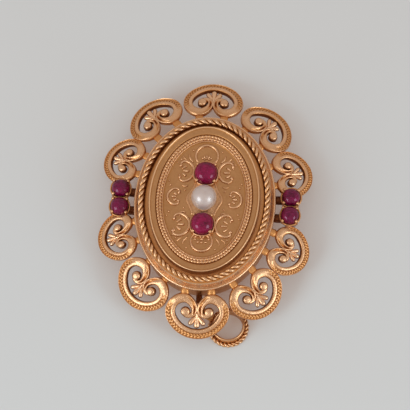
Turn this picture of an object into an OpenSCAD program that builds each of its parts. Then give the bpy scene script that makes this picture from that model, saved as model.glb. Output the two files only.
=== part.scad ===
// Oval pendant brooch, lying face up: +Z is its face, +Y the end opposite the bail.
// The origin is on the surface that it lies on, under the pearl.

/* [Oval box] */
// Half width of the oval at its outer flange
oval_half_w = 12.7; // [12.4:0.1:13.2]
// Half height of the oval at its outer flange
oval_half_h = 16.4; // [15.8:0.1:17]
// Height of the back rim above the surface
back_rim_z = 2.4; // [2.3:0.1:2.8]
// Height of the outer flange of the oval
flange_z = 6.85; // [6.6:0.05:7.1]
// Height of the tray that carries the plaque
tray_z = 6.3; // [6:0.1:6.4]
// Height of the middle of the rope rim
rope_z = 8.65; // [8.4:0.05:8.9]
// Radius of the rope rim
rope_r = 0.45; // [0.35:0.05:0.5]

/* [Scroll border] */
// Slope of the border, in degrees down from the oval
border_slope = 27; // [24:1:30]
// Height of a scroll's middle
border_z = 4.76; // [4.6:0.02:5]
// Radius of the round ends of a scroll
lobe_r = 3.3; // [3.1:0.1:3.4]
// Distance of a scroll's round ends from its own middle line
lobe_across = 2.3; // [2.2:0.1:2.4]
// Distance from the scroll's middle to its outer edge
scroll_reach = 4.76; // [4.6:0.02:4.9]
// Width of the band at the outer edge
band_w = 1.66; // [1.5:0.02:1.8]
// Thickness of the band below its edge
band_below = 0.45; // [0.35:0.05:0.5]

/* [Plaque] */
// Half width of the raised plaque
plaque_half_w = 10; // [9.7:0.01:10.1]
// Half height of the raised plaque
plaque_half_h = 13.74; // [13.4:0.01:13.8]
// Height of the plaque's bright edge
plaque_edge_z = 9.5; // [9.3:0.1:9.7]
// Height of the ground under the raised scrolls
ground_z = 8.8; // [8.7:0.05:8.9]
// Height of the raised scrolls above their ground
relief = 0.3; // [0.2:0.05:0.4]

/* [Stones] */
// Radius of the pearl
pearl_r = 2.25; // [2.1:0.05:2.3]
// Radius of the two rubies on the plaque
ruby_r = 2; // [1.9:0.05:2]
// Distance of the plaque rubies from the pearl
ruby_pitch = 4.78; // [4.7:0.02:4.9]
// Radius of the four rubies at the sides
side_ruby_r = 1.6; // [1.5:0.05:1.6]
// Distance of the side rubies from the middle
side_ruby_x = 15.3; // [15.2:0.1:15.5]

/* [Bail] */
// Radius of the hole in the bail ring
bail_hole_r = 2.55; // [2.4:0.05:2.7]
// Wall of the plain inner strip of the bail ring
bail_wall = 0.4; // [0.35:0.05:0.5]
// Height of the inner strip
bail_h = 1.9; // [1.7:0.1:1.9]
// Radius of the rope wire round the bail ring
bail_rope_r = 0.42; // [0.35:0.01:0.45]
// Distance of the pivot rivet from the pearl
rivet_reach = 18.4; // [18.2:0.1:18.6]
// Distance from the rivet to the middle of the ring
bail_arm = 6.08; // [6:0.02:6.3]
// Angle at which the bail lies, in degrees from the lower end
bail_angle = 64.7; // [0:0.1:70]

/* [Pin] */
// Distance of the pin above the pearl
pin_y = 6; // [5:0.5:7]
// Radius of the pin's stem
pin_r = 0.4; // [0.3:0.05:0.45]

/* [Hidden] */

gold = [0.80, 0.58, 0.36];
pale_gold = [0.86, 0.68, 0.44];
ruby_red = [0.45, 0.07, 0.25];
pearl_white = [0.92, 0.90, 0.86];

oval_steps = 52;
wall = 0.9;
gap = 0.05;

// The ten scrolls of the border, soldered on by hand, so that left and right differ a little
// Columns: place round the oval in degrees, distance out from its flange, size along the
// flange and size outwards, both as a share of a full scroll
SCROLLS = [[90, 3.4, 0.96, 1.02],
           [125.8, 3.8, 0.94, 0.97],
           [155.5, 3.5, 0.8, 0.95],
           [199.8, 3.1, 0.79, 0.93],
           [232, 3, 0.97, 0.98],
           [270, 3.45, 1.03, 1.02],
           [307, 3.6, 0.94, 0.97],
           [337.5, 3.55, 0.82, 0.93],
           [22, 3.1, 0.8, 0.93],
           [53, 3.1, 0.94, 0.97]];

// The outer arc of a scroll meets both round ends: its centre lies below the middle
crest = scroll_reach - lobe_r;
arc_drop = (pow(lobe_across, 2) - pow(crest, 2)) / (2 * crest);
arc_r = scroll_reach + arc_drop;
arc_end = atan2(arc_drop, lobe_across);

// The rest of the band's middle line, from the round end to the bulb of its curl
// Columns: across, outwards, half width of the band, height of its crown
CURL = [[2.1, -2.33, 0.97, 0.5],
        [1.35, -1.85, 0.74, 0.5],
        [0.74, -0.95, 0.72, 0.5],
        [0.62, -0.2, 0.6, 0.5],
        [0.92, 0.28, 0.48, 0.5],
        [1.6, 0.24, 0.38, 0.5],
        [2.2, 0.05, 0.5, 0.5]];
bulb_at = [2.3, -0.45];
bulb_r = 0.78;

// The three leaves that stand in the opening of a scroll
// Columns: across and outwards at the root, at the tip, radius at the root, at the tip
LEAVES = [[0, 0.1, 0, 2.55, 0.34, 0.36],
          [0.15, 0.7, 1.05, 1.85, 0.28, 0.3],
          [-0.15, 0.7, -1.05, 1.85, 0.28, 0.3]];

// Profile of the oval box from under the tray, round its wall, to the tray
// Columns: distance in from the flange, height
BOX_PROFILE = [[1.3, tray_z - wall],
               [1.3, back_rim_z],
               [0.4, back_rim_z],
               [0.4, flange_z - 0.65],
               [0, flange_z - 0.35],
               [0, flange_z],
               [0.15, flange_z + 0.15],
               [0.88, rope_z - 0.35],
               [1.35 - rope_r, rope_z],
               [1.35 - 0.5 * rope_r, rope_z + 0.85 * rope_r],
               [1.35 + 0.5 * rope_r, rope_z + 0.85 * rope_r],
               [1.35 + rope_r, rope_z],
               [1.8, tray_z]];

// Profile of the plaque from under its top, round its wall, to the ground
// Columns: half width, half height, height
PLAQUE_PROFILE = [[plaque_half_w - wall, plaque_half_h - wall, ground_z - wall],
                  [plaque_half_w - wall, plaque_half_h - wall, tray_z],
                  [plaque_half_w, plaque_half_h, tray_z],
                  [plaque_half_w, plaque_half_h, plaque_edge_z - 0.35],
                  [plaque_half_w - 0.13, plaque_half_h - 0.13, plaque_edge_z - 0.08],
                  [plaque_half_w - 0.4, plaque_half_h - 0.4, plaque_edge_z],
                  [8.45, 11.97, plaque_edge_z - 0.42],
                  [8.18, 11.7, plaque_edge_z - 0.12],
                  [7.88, 11.39, plaque_edge_z - 0.4],
                  [7.58, 11.08, plaque_edge_z - 0.12],
                  [7.3, 10.8, plaque_edge_z - 0.42],
                  [7.2, 10.7, ground_z]];

// The raised scrolls of the plaque
// Columns: across, up, radius, direction that the open side faces
PLAQUE_SCROLLS = [[0, 8.3, 1.75, 270], [0, -8.3, 1.75, 90],
                  [4.1, 5, 1.7, 0], [-4.1, 5, 1.7, 180],
                  [4.9, 0, 1.5, 180], [-4.9, 0, 1.5, 0],
                  [4.1, -5.1, 1.7, 0], [-4.1, -5.1, 1.7, 180]];

// The raised strokes of one quarter of the plaque
// Columns: across and up at the root, at the tip
STROKES = [[2.1, 2.6, 3, 1.5],
           [2.15, 7, 3, 8.3],
           [3.5, 8, 4.2, 8.9]];

function mirrored(row) = [for (sx = [1, -1], sy = [1, -1])
    [sx * row[0], sy * row[1], sx * row[2], sy * row[3]]];

function on_arc(centre, r, angle, half_w, crown) =
    [centre[0] + r * cos(angle), centre[1] + r * sin(angle), half_w, crown];

// The middle line of half a scroll's band: its outer arc, its round end and its curl
function half_band() = let (half_w = band_w / 2) concat(
    [for (k = [0 : 5]) on_arc([0, -arc_drop], arc_r - half_w, 90 - k * (77 - arc_end) / 5, half_w, 0.35)],
    [for (k = [0 : 4]) let (grown = half_w + 0.035 * k)
        on_arc([lobe_across, 0], lobe_r - grown, arc_end - 24 * k, grown, 0.35 + 0.03 * k)],
    CURL);

// The whole line: the half mirrored, then the half itself
function whole_band(half) = concat([for (k = [len(half) - 1 : -1 : 1]) let (p = half[k])
    [-p[0], p[1], p[2], p[3]]], half);

// The middle line of a plaque scroll: an arc of 230 degrees with both ends curled in
function plaque_scroll(r) = [for (k = [-6 : 6])
    let (inward = max(abs(k) - 4, 0), ring = r * (1 - 0.17 * inward))
        [ring * cos(23 * k), ring * sin(23 * k), 0.19 + 0.05 * inward, relief]];

// One closed body from stacked rings of points, with a flat face on both ends
module stack(rings) {
    n = len(rings[0]);
    m = len(rings);
    polyhedron(
        points = [for (ring = rings, p = ring) p],
        faces = concat(
            [[for (j = [0 : n - 1]) j]],
            [[for (j = [n - 1 : -1 : 0]) (m - 1) * n + j]],
            [for (k = [0 : m - 2], j = [0 : n - 1])
                [k * n + j, (k + 1) * n + j, (k + 1) * n + (j + 1) % n, k * n + (j + 1) % n]]),
        convexity = 10);
}

function oval_ring(half_w, half_h, z) = [for (j = [0 : oval_steps - 1])
    [half_w * cos(360 * j / oval_steps), half_h * sin(360 * j / oval_steps), z]];

// A band along a middle line: flat below, with a bevelled crown
// Columns of the line: across, outwards, half width, height of the crown
module band(line, below) {
    last = len(line) - 1;
    stack([for (i = [0 : last])
        let (p = line[i],
             along = line[min(i + 1, last)] - line[max(i - 1, 0)],
             side = [-along[1], along[0]] / norm([along[0], along[1]]) * p[2])
            [[p[0] + side[0], p[1] + side[1], -below],
             [p[0] + side[0], p[1] + side[1], 0.4 * p[3]],
             [p[0], p[1], p[3]],
             [p[0] - side[0], p[1] - side[1], 0.4 * p[3]],
             [p[0] - side[0], p[1] - side[1], -below]]]);
}

// A small bar between two round ends
module bar(from, to, r_from, r_to, low, high, sides = 6) {
    hull() {
        translate([from[0], from[1], low]) cylinder(r = r_from, h = high - low, $fn = sides);
        translate([to[0], to[1], low]) cylinder(r = r_to, h = high - low, $fn = sides);
    }
}

// The round bulb at the end of a scroll's curl
module bulb() {
    translate([bulb_at[0], bulb_at[1], -band_below]) {
        cylinder(r = bulb_r, h = band_below + 0.3, $fn = 8);
        translate([0, 0, band_below + 0.3]) cylinder(r1 = bulb_r, r2 = 0.35, h = 0.45, $fn = 8);
    }
}

module scroll() {
    band(whole_band(half_band()), band_below);
    bulb();
    mirror([1, 0, 0]) bulb();
    for (leaf = LEAVES)
        bar([leaf[0], leaf[1]], [leaf[2], leaf[3]], leaf[4], leaf[5], -band_below, 0.35);
}

// Solder tabs that join both round ends of a scroll to the oval box
module scroll_tabs(distance_out, size_along) {
    into_box = 0.6;
    for (side = [-1, 1], x = side * lobe_across * size_along)
        bar([x, -2.9], [x, -(distance_out + into_box) / cos(border_slope)], 0.55, 0.5, -0.55, -0.1);
}

module scroll_border() {
    for (row = SCROLLS) {
        out = atan2(sin(row[0]) / oval_half_h, cos(row[0]) / oval_half_w);
        translate([oval_half_w * cos(row[0]) + row[1] * cos(out),
                   oval_half_h * sin(row[0]) + row[1] * sin(out), border_z])
            rotate([0, 0, out - 90])
                rotate([-border_slope, 0, 0]) {
                    scale([row[2], row[3], 1]) scroll();
                    scroll_tabs(row[1], row[2]);
                }
    }
}

module oval_box() {
    stack([for (row = BOX_PROFILE) oval_ring(oval_half_w - row[0], oval_half_h - row[0], row[1])]);
}

// A claw of a setting, leaning in over the stone from the rim of its cup
module claw(foot_r, foot_z, tip_r, tip_z, r) {
    hull() {
        translate([foot_r, 0, foot_z]) sphere(r = r, $fn = 6);
        translate([tip_r, 0, tip_z]) sphere(r = 0.85 * r, $fn = 6);
    }
}

// The four claws of a setting for a stone of radius r, whose flat base is at seat_z
module claws(r, seat_z, claw_r) {
    for (a = [45 : 90 : 315])
        rotate([0, 0, a])
            claw(r + claw_r + 0.12, seat_z + 0.1, r + claw_r - 0.12, seat_z + 1.35, claw_r);
}

module cup(r, foot_z, seat_z) {
    translate([0, 0, foot_z])
        cylinder(r1 = 0.85 * r, r2 = r + 0.35, h = seat_z + 0.4 - foot_z, $fn = 16);
}

// The room that a stone takes, cut out of its cup and of any scroll beside it,
// turned so that two rooms side by side keep a thin wall between them
module stone_room(r, seat_z) {
    translate([0, 0, seat_z]) rotate([0, 0, 11.25]) cylinder(r = r + 2 * gap, h = 3, $fn = 16);
}

side_seat_z = 5.3;
side_ruby_y = [2.4, -1];

// Whatever stands at each of the four side rubies
module at_side_rubies() {
    for (side = [-1, 1], y = side_ruby_y)
        translate([side * side_ruby_x, y, 0]) mirror([side > 0 ? 0 : 1, 0, 0]) children();
}

// A cup for a side ruby with the bar that joins it to the oval box
module side_cup() {
    cup(side_ruby_r, 2.6, side_seat_z);
    bar([-1, 0], [oval_half_w - side_ruby_x - 0.8, 0], 0.5, 0.5, 3.2, 4.2);
}

// The tongue under the lower end that carries the bail's rivet
tongue_z = 2.1;
tongue_thick = 0.8;
tongue_half_w = 0.55;
tongue_eye_r = 1.1;
rivet_r = 0.5;

module bail_tongue() {
    difference() {
        union() {
            bar([0, -oval_half_h + 1], [0, -rivet_reach], tongue_half_w, tongue_half_w,
                tongue_z, tongue_z + tongue_thick, 12);
            translate([0, -rivet_reach, tongue_z])
                cylinder(r = tongue_eye_r, h = tongue_thick, $fn = 24);
        }
        translate([0, -rivet_reach, 0]) cylinder(r = rivet_r + gap, h = 6, $fn = 24);
    }
}

// The soldered metal of the brooch: oval box, scroll border, side settings and tongue
module frame() {
    color(gold) {
        difference() {
            union() {
                oval_box();
                scroll_border();
                at_side_rubies() side_cup();
                bail_tongue();
            }
            at_side_rubies() stone_room(side_ruby_r, side_seat_z);
        }
        at_side_rubies() claws(side_ruby_r, side_seat_z, 0.25);
    }
}

ruby_seat_z = 9.2;
pearl_seat_z = 9;

module plaque() {
    color(pale_gold) {
        stack([for (row = PLAQUE_PROFILE) oval_ring(row[0], row[1], row[2])]);
        for (row = PLAQUE_SCROLLS)
            translate([row[0], row[1], ground_z])
                rotate([0, 0, row[3] + 180])
                    band(plaque_scroll(row[2]), 0.2);
        for (row = STROKES, stroke = mirrored(row))
            bar([stroke[0], stroke[1]], [stroke[2], stroke[3]], 0.14, 0.24,
                ground_z - 0.2, ground_z + 0.8 * relief);
        for (side = [-1, 1])
            translate([0, side * ruby_pitch, 0]) {
                difference() {
                    cup(ruby_r, ground_z - 0.3, ruby_seat_z);
                    stone_room(ruby_r, ruby_seat_z);
                }
                claws(ruby_r, ruby_seat_z, 0.28);
            }
        translate([0, 0, ground_z - 0.3])
            cylinder(r = 0.8 * pearl_r, h = pearl_seat_z - ground_z + 0.3, $fn = 24);
    }
}

// A stone with a flat base, a short straight girdle and a round dome
module cabochon(r, girdle, dome) {
    dome_r = (r * r + dome * dome) / (2 * dome);
    intersection() {
        cylinder(r = r, h = girdle + dome, $fn = 60);
        translate([0, 0, girdle + dome - dome_r]) sphere(r = dome_r, $fn = 60);
    }
}

module pearl() {
    color(pearl_white)
        intersection() {
            translate([0, 0, 10.3]) sphere(r = pearl_r, $fn = 60);
            translate([0, 0, pearl_seat_z]) cylinder(r = 2 * pearl_r, h = 3 * pearl_r, $fn = 60);
        }
}

module plaque_ruby(side) {
    color(ruby_red) translate([0, side * ruby_pitch, ruby_seat_z]) cabochon(ruby_r, 0.6, 1.7);
}

module side_ruby(side, y) {
    color(ruby_red) translate([side * side_ruby_x, y, side_seat_z]) cabochon(side_ruby_r, 0.5, 1.4);
}

module ruby_upper() { plaque_ruby(1); }
module ruby_lower() { plaque_ruby(-1); }
module ruby_left_upper() { side_ruby(-1, side_ruby_y[0]); }
module ruby_left_lower() { side_ruby(-1, side_ruby_y[1]); }
module ruby_right_upper() { side_ruby(1, side_ruby_y[0]); }
module ruby_right_lower() { side_ruby(1, side_ruby_y[1]); }

arm_thick = 0.8;
arm_w = 1.7;

// The bail: a plain strip bent to a ring, a rope wire round its foot, an arm and an eye
module bail() {
    color(gold)
        translate([0, -rivet_reach, 0])
            rotate([0, 0, bail_angle]) {
                difference() {
                    union() {
                        translate([0, -bail_arm, 0])
                            cylinder(r = bail_hole_r + bail_wall, h = bail_h, $fn = 72);
                        translate([-arm_w / 2, -bail_arm + bail_hole_r, bail_h - arm_thick])
                            cube([arm_w, bail_arm - bail_hole_r, arm_thick]);
                        translate([0, 0, bail_h - arm_thick])
                            cylinder(r = 1.2, h = arm_thick, $fn = 48);
                    }
                    translate([0, -bail_arm, -1])
                        cylinder(r = bail_hole_r, h = bail_h + 2, $fn = 72);
                    translate([0, 0, -1]) cylinder(r = rivet_r + gap, h = bail_h + 2, $fn = 48);
                }
                translate([0, -bail_arm, bail_rope_r])
                    rotate_extrude($fn = 72)
                        translate([bail_hole_r + bail_wall + 0.8 * bail_rope_r, 0])
                            circle(r = bail_rope_r, $fn = 24);
            }
}

module bail_rivet() {
    head_z = bail_h - arm_thick - 0.1;
    color(gold)
        translate([0, -rivet_reach, 0]) {
            translate([0, 0, head_z]) cylinder(r = rivet_r, h = tongue_z + tongue_thick - head_z, $fn = 48);
            translate([0, 0, head_z - 0.45]) cylinder(r = 0.95, h = 0.45, $fn = 48);
            translate([0, 0, tongue_z + tongue_thick]) cylinder(r = 0.8, h = 0.3, $fn = 48);
        }
}

pin_z = 1;
pin_half = 9.6;
pin_bar_half = 11.2;

// The pin at the back: a bar across the back rim, a block, the stem and its hook, in one piece
module brooch_pin() {
    color(pale_gold)
        translate([0, pin_y, 0]) {
            translate([-pin_bar_half, -0.9, back_rim_z - 0.8]) cube([2 * pin_bar_half, 1.8, 0.8]);
            translate([-pin_half - 0.8, -1, 0]) cube([1.6, 2, back_rim_z - 0.6]);
            translate([-pin_half, 0, pin_z])
                rotate([0, 90, 0]) cylinder(r = pin_r, h = 2 * pin_half + 0.6, $fn = 32);
            translate([pin_half + 0.6, 0, pin_z])
                rotate([0, 90, 0]) cylinder(r1 = pin_r, r2 = 0.1, h = 1.2, $fn = 32);
            translate([pin_half - 0.8, 0, pin_z])
                difference() {
                    rotate([0, 90, 0]) cylinder(r = 1, h = 1.4, $fn = 48);
                    translate([-1, 0, 0]) rotate([0, 90, 0]) cylinder(r = 0.55, h = 4, $fn = 48);
                    translate([-1, 0, -0.45]) cube([4, 3, 0.6]);
                }
        }
}

frame();
plaque();
pearl();
ruby_upper();
ruby_lower();
ruby_left_upper();
ruby_left_lower();
ruby_right_upper();
ruby_right_lower();
bail();
bail_rivet();
brooch_pin();
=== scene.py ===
"""The looks of an oval pendant brooch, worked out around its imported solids.

Tables and working lengths are in millimetres, and a mesh is turned to metres when it is made.
A piece is one or more grids of points: each row of a grid is a closed ring round the metal, and
the faces are the cells between the rows. +Z is the face of the brooch, +Y the end away from its
bail, and the origin is under the pearl on the surface that the brooch lies on.
"""

import math

import bmesh
import bpy
import numpy as np
from mathutils import Matrix, Vector


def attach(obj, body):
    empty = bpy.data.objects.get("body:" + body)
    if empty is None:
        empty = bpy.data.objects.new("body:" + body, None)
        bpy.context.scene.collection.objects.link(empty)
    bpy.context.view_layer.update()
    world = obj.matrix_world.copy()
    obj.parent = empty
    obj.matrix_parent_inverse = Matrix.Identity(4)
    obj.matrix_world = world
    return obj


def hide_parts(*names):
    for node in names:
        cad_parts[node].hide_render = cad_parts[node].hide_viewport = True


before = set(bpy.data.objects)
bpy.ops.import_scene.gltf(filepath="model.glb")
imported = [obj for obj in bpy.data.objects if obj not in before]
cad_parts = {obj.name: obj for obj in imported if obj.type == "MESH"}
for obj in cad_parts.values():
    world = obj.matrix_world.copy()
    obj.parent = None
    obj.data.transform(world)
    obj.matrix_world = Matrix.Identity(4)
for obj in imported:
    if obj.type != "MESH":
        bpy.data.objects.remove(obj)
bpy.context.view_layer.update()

SCENE = bpy.context.scene
MM = 0.001
UP = np.array([0.0, 0.0, 1.0])

# Edges that bend by more than this are drawn sharp
SHARP = math.radians(50)

# The oval box, the plaque and the stones, as the solids have them
OVAL = (12.7, 16.4)
GROUND_Z = 8.8
PEARL_R = 2.25
PEARL_Z = 10.3
PEARL_SEAT_Z = 9.0
RUBY_R = 2.0
RUBY_PITCH = 4.78
RUBY_SEAT_Z = 9.2
RUBY_SQUARE = 2.2
SIDE_R = 1.6
SIDE_X = 15.3
SIDE_Y = {"upper": 2.4, "lower": -1.0}
SIDE_SEAT_Z = 5.3
SIDE_SQUARE = 2.1

# The rope on the box: its distances in from the flange, its height, radius and turns
ROPE_IN = (1.35, 1.5)
ROPE_Z = 8.65
ROPE_R = 0.5
ROPE_TURNS = 35

# The scroll border
SLOPE = math.radians(27)
BORDER_Z = 4.76
LOBE_R = 3.3
LOBE_ACROSS = 2.3
REACH = 4.76
BAND_HALF = 0.91
BAND_CROWN = 0.5
BAND_BELOW = 0.45
STROKE_PITCH = 0.56
STROKE_R = 0.14

# The bail and its rivet
RIVET_REACH = 18.4
ARM = 6.08
BAIL_ANGLE = math.radians(64.7)
BAIL_HOLE = 2.55
BAIL_WALL = 0.4
BAIL_H = 1.9
BAIL_ROPE = 0.42
BAIL_TURNS = 13
TONGUE_Z = 2.1
EYE_THICK = 0.8

# Ten scrolls: name, place round the oval in degrees, distance out from the flange,
# size along the flange and size outwards
SCROLLS = [("top", 90, 3.4, 0.96, 1.02),
           ("upper_left", 125.8, 3.8, 0.94, 0.97),
           ("left_upper", 155.5, 3.5, 0.8, 0.95),
           ("left_lower", 199.8, 3.1, 0.79, 0.93),
           ("lower_left", 232, 3.0, 0.97, 0.98),
           ("bottom", 270, 3.45, 1.03, 1.02),
           ("lower_right", 307, 3.6, 0.94, 0.97),
           ("right_lower", 337.5, 3.55, 0.82, 0.93),
           ("right_upper", 22, 3.1, 0.8, 0.93),
           ("upper_right", 53, 3.1, 0.94, 0.97)]


def unit(v):
    """Vectors divided by their own lengths."""
    return v / np.linalg.norm(v, axis=-1, keepdims=True)


def running(line):
    """The length along a line from its first point to each of its points."""
    return np.concatenate([[0], np.cumsum(np.linalg.norm(np.diff(line, axis=0), axis=1))])


def smooth_line(table, count):
    """A smooth curve through the rows of a table, every column treated alike: a natural cubic
    spline over the running length of the first two columns, at count even steps."""
    rows = np.array(table, float)
    knots = running(rows[:, :2])
    step = np.diff(knots)
    slope = np.diff(rows, axis=0) / step[:, None]
    inner = np.arange(1, len(rows) - 1)
    matrix = np.eye(len(rows))
    matrix[inner, inner - 1] = step[:-1]
    matrix[inner, inner] = 2 * (step[:-1] + step[1:])
    matrix[inner, inner + 1] = step[1:]
    change = np.zeros_like(rows)
    change[1:-1] = 6 * np.diff(slope, axis=0)
    bend = np.linalg.solve(matrix, change)
    at = np.linspace(0, knots[-1], count)
    k = np.clip(np.searchsorted(knots, at, side="right") - 1, 0, len(step) - 1)
    h = step[k][:, None]
    a = (knots[k + 1] - at)[:, None] / h
    b = 1 - a
    return (a * rows[k] + b * rows[k + 1]
            + ((a ** 3 - a) * bend[k] + (b ** 3 - b) * bend[k + 1]) * h ** 2 / 6)


def tube(line, radius, sides, up, flat):
    """A bar along a line: each ring is the line's point plus radius times
    (cos of the turn, sideways, and flat times its sine, upwards)."""
    line = np.asarray(line, float)
    along = unit(np.gradient(line, axis=0))
    side = unit(np.cross(up, along))
    top = np.cross(along, side)
    turn = np.linspace(0, 2 * np.pi, sides, endpoint=False)[None, :, None]
    size = np.broadcast_to(radius, len(line))[:, None, None]
    ring = np.cos(turn) * side[:, None] + flat * np.sin(turn) * top[:, None]
    return line[:, None] + size * ring


def wire(line, radius, sides, up=UP, steps=26, flat=1.0):
    """A bar with round ends: its radius runs along the line as given, times the height of a
    quarter circle over the last radius of length at each end."""
    line = np.asarray(line, float)
    run = running(line)
    size = np.broadcast_to(radius, len(line)).astype(float)
    start, end = size[0], size[-1]
    quarter = np.linspace(0, np.pi / 2, 5)
    at = np.concatenate([start * (1 - np.cos(quarter)),
                         np.linspace(start, run[-1] - end, steps)[1:-1],
                         run[-1] - end * (1 - np.cos(quarter[::-1]))])
    round_end = np.sqrt(np.clip(1 - np.clip(1 - at / start, 0, 1) ** 2, 0, 1))
    round_end *= np.sqrt(np.clip(1 - np.clip(1 - (run[-1] - at) / end, 0, 1) ** 2, 0, 1))
    points = np.stack([np.interp(at, run, line[:, k]) for k in range(3)], 1)
    return tube(points, np.interp(at, run, size) * round_end, sides, up, flat)


def spun(profile, count, centre=(0, 0, 0), squareness=2.0):
    """A profile of rows (distance from the axis, height) spun round an upright axis, in rings of
    count points. With a squareness above 2 a ring is a superellipse: the sizes of its x and y,
    each to that power, add up to 1."""
    profile = np.asarray(profile, float)
    turn = np.linspace(0, 2 * np.pi, count, endpoint=False)
    c, s = np.cos(turn), np.sin(turn)
    reach = (np.abs(c) ** squareness + np.abs(s) ** squareness) ** (-1 / squareness)
    ring = np.stack([-reach * c, -reach * s, 0 * c], 1)
    away, height = profile.T[:, :, None, None]
    return np.asarray(centre, float) + away * ring + height * UP


def bead(centre, radius):
    """A small round grain: a half circle spun."""
    turn = np.linspace(-np.pi / 2, np.pi / 2, 7)
    return spun(np.stack([radius * np.cos(turn), radius * np.sin(turn)], 1), 10, centre)


def oval_loft(profile):
    """A profile of rows (half width, half height, z) carried round the oval: each ring is
    (half width cos, half height sin, z) of the same angles."""
    turn = np.linspace(0, 2 * np.pi, 288, endpoint=False)
    half_w, half_h, z = profile.T[:, :, None]
    return np.stack([half_w * np.cos(turn), half_h * np.sin(turn), z + 0 * turn], -1)


def even_oval(half_w, half_h, count):
    """count points at even lengths round an oval, and the outward direction at each."""
    fine = np.linspace(0, 2 * np.pi, 6001)
    run = running(np.stack([half_w * np.cos(fine), half_h * np.sin(fine)], 1))
    turn = np.interp(np.linspace(0, run[-1], count, endpoint=False), run, fine)
    points = np.stack([half_w * np.cos(turn), half_h * np.sin(turn), 0 * turn], 1)
    return points, unit(np.stack([half_h * np.cos(turn), half_w * np.sin(turn), 0 * turn], 1))


def rope(points, out, radius, turns):
    """Two strands twisted round a closed line. A strand's middle is the line's point plus
    0.49 radius times (cos, outwards, and sin, upwards) of an angle that makes so many turns;
    its ring, 0.6 radius wide, stands across the strand's own direction. Its painted light is
    0.55 less the cosine of the turn round the strand from its outer side: painted shade where
    the strands meet, a painted highlight on their outer sides."""
    strands = []
    ring = np.linspace(0, 2 * np.pi, 12, endpoint=False)[None, :, None]
    deep = np.clip(0.55 - np.cos(ring[..., 0]), -0.45, 1.1)
    for k in range(2):
        turn = -2 * np.pi * turns * np.arange(len(points)) / len(points) + np.pi * k
        away = np.cos(turn)[:, None] * out + np.sin(turn)[:, None] * UP
        middle = points + 0.49 * radius * away
        along = unit(np.roll(middle, -1, axis=0) - np.roll(middle, 1, axis=0))
        away = unit(away - np.sum(away * along, axis=1, keepdims=True) * along)
        side = np.cross(along, away)
        strands.append(middle[:, None] + 0.6 * radius
                       * (np.cos(ring) * away[:, None] + np.sin(ring) * side[:, None]))
    return strands, deep


def coiled(points, out, radius, lumps, slant):
    """A wire wound like a screw along a closed line. At a share u of the line and a turn t from
    the outward side, with w = sqrt|cos(pi lumps u + slant t / 2)|, its radius is
    radius * (0.62 + 0.38 w) and its painted light 0.8 - 1.1 w: painted shade in the grooves
    between lumps and a painted highlight on them."""
    turn = np.linspace(0, 2 * np.pi, 14, endpoint=False)[None]
    phase = np.pi * lumps * np.arange(len(points))[:, None] / len(points)
    wave = np.sqrt(np.abs(np.cos(phase + slant * turn / 2)))
    size = radius * (0.62 + 0.38 * wave)[..., None]
    ring = np.cos(turn)[..., None] * out[:, None] + np.sin(turn)[..., None] * UP
    return points[:, None] + size * ring, 0.8 - 1.1 * wave


def shade(height, level, least):
    """Painted light of a raised thing: painted shade, 1, at its foot, 0 at the level, and down to
    least above it, a painted highlight.
    """
    return np.clip((level - height) / 0.18, least, 1) * (height > level - 0.6)


def cells(rows, cols, closed):
    """The four corners of each cell of a grid whose rows are rings."""
    r = np.arange(rows if closed else rows - 1)[:, None]
    c = np.arange(cols)[None, :]
    right = (c + 1) % cols
    below = (r + 1) % rows
    return np.stack([r * cols + c, r * cols + right, below * cols + right, below * cols + c],
                    -1).reshape(-1, 4)


def volume(points, faces):
    """The signed volume under four-cornered faces: a sixth of a . (b x c) over their triangles."""
    a, b, c, d = (points[faces[:, k]] for k in range(4))
    return (np.sum(a * np.cross(b, c)) + np.sum(a * np.cross(c, d))) / 6


class Work:
    """One piece in the making: its grids of points, and the painted light at each point: above 0
    painted shade with tarnish, below 0 a painted highlight with rubbed wear.
    """

    def __init__(self):
        self.points, self.faces, self.ends, self.deep = [], [], [], []
        self.count = 0

    def add(self, grid, closed=False, deep=0.0):
        """A grid of rings. An open grid gets a flat face on both ends, and the faces are turned
        outwards by the sign of the volume that they enclose."""
        rows, cols = grid.shape[:2]
        flat = grid.reshape(-1, 3)
        faces = cells(rows, cols, closed)
        middle = flat.mean(axis=0)
        inside_out = volume(flat - middle, faces) < 0
        if inside_out:
            faces = faces[:, ::-1]
        self.faces.append(faces + self.count)
        if not closed:
            first = list(range(self.count, self.count + cols))
            last = list(range(self.count + (rows - 1) * cols, self.count + rows * cols))
            self.ends += [first if inside_out else first[::-1], last[::-1] if inside_out else last]
        self.points.append(flat)
        self.deep.append(np.broadcast_to(deep, (rows, cols)).reshape(-1))
        self.count += len(flat)
        return self

    def make(self, name, material, slot, stands_for, body="brooch"):
        """Makes the object, at the origin, riding on a body, in place of a node of the frame.
        Points that fall together, as at a pole, become one."""
        mesh = bpy.data.meshes.new(name)
        points = np.concatenate(self.points) * MM
        faces = np.concatenate(self.faces).tolist() + self.ends
        mesh.from_pydata(points.tolist(), [], faces)
        # The points' painted shade and highlights go to an attribute that the materials read
        depth = mesh.attributes.new("painted_light_and_wear", "FLOAT", "POINT")
        depth.data.foreach_set("value", np.concatenate(self.deep).astype(np.float32))
        shell = bmesh.new()
        shell.from_mesh(mesh)
        bmesh.ops.remove_doubles(shell, verts=shell.verts, dist=1e-7)
        bmesh.ops.dissolve_degenerate(shell, edges=shell.edges, dist=1e-8)
        shell.to_mesh(mesh)
        shell.free()
        mesh.polygons.foreach_set("use_smooth", np.ones(len(mesh.polygons), bool))
        mesh.set_sharp_from_angle(angle=SHARP)
        mesh.materials.append(material)
        made = bpy.data.objects.new(name, mesh)
        SCENE.collection.objects.link(made)
        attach(made, body)
        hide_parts(stands_for)


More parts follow.
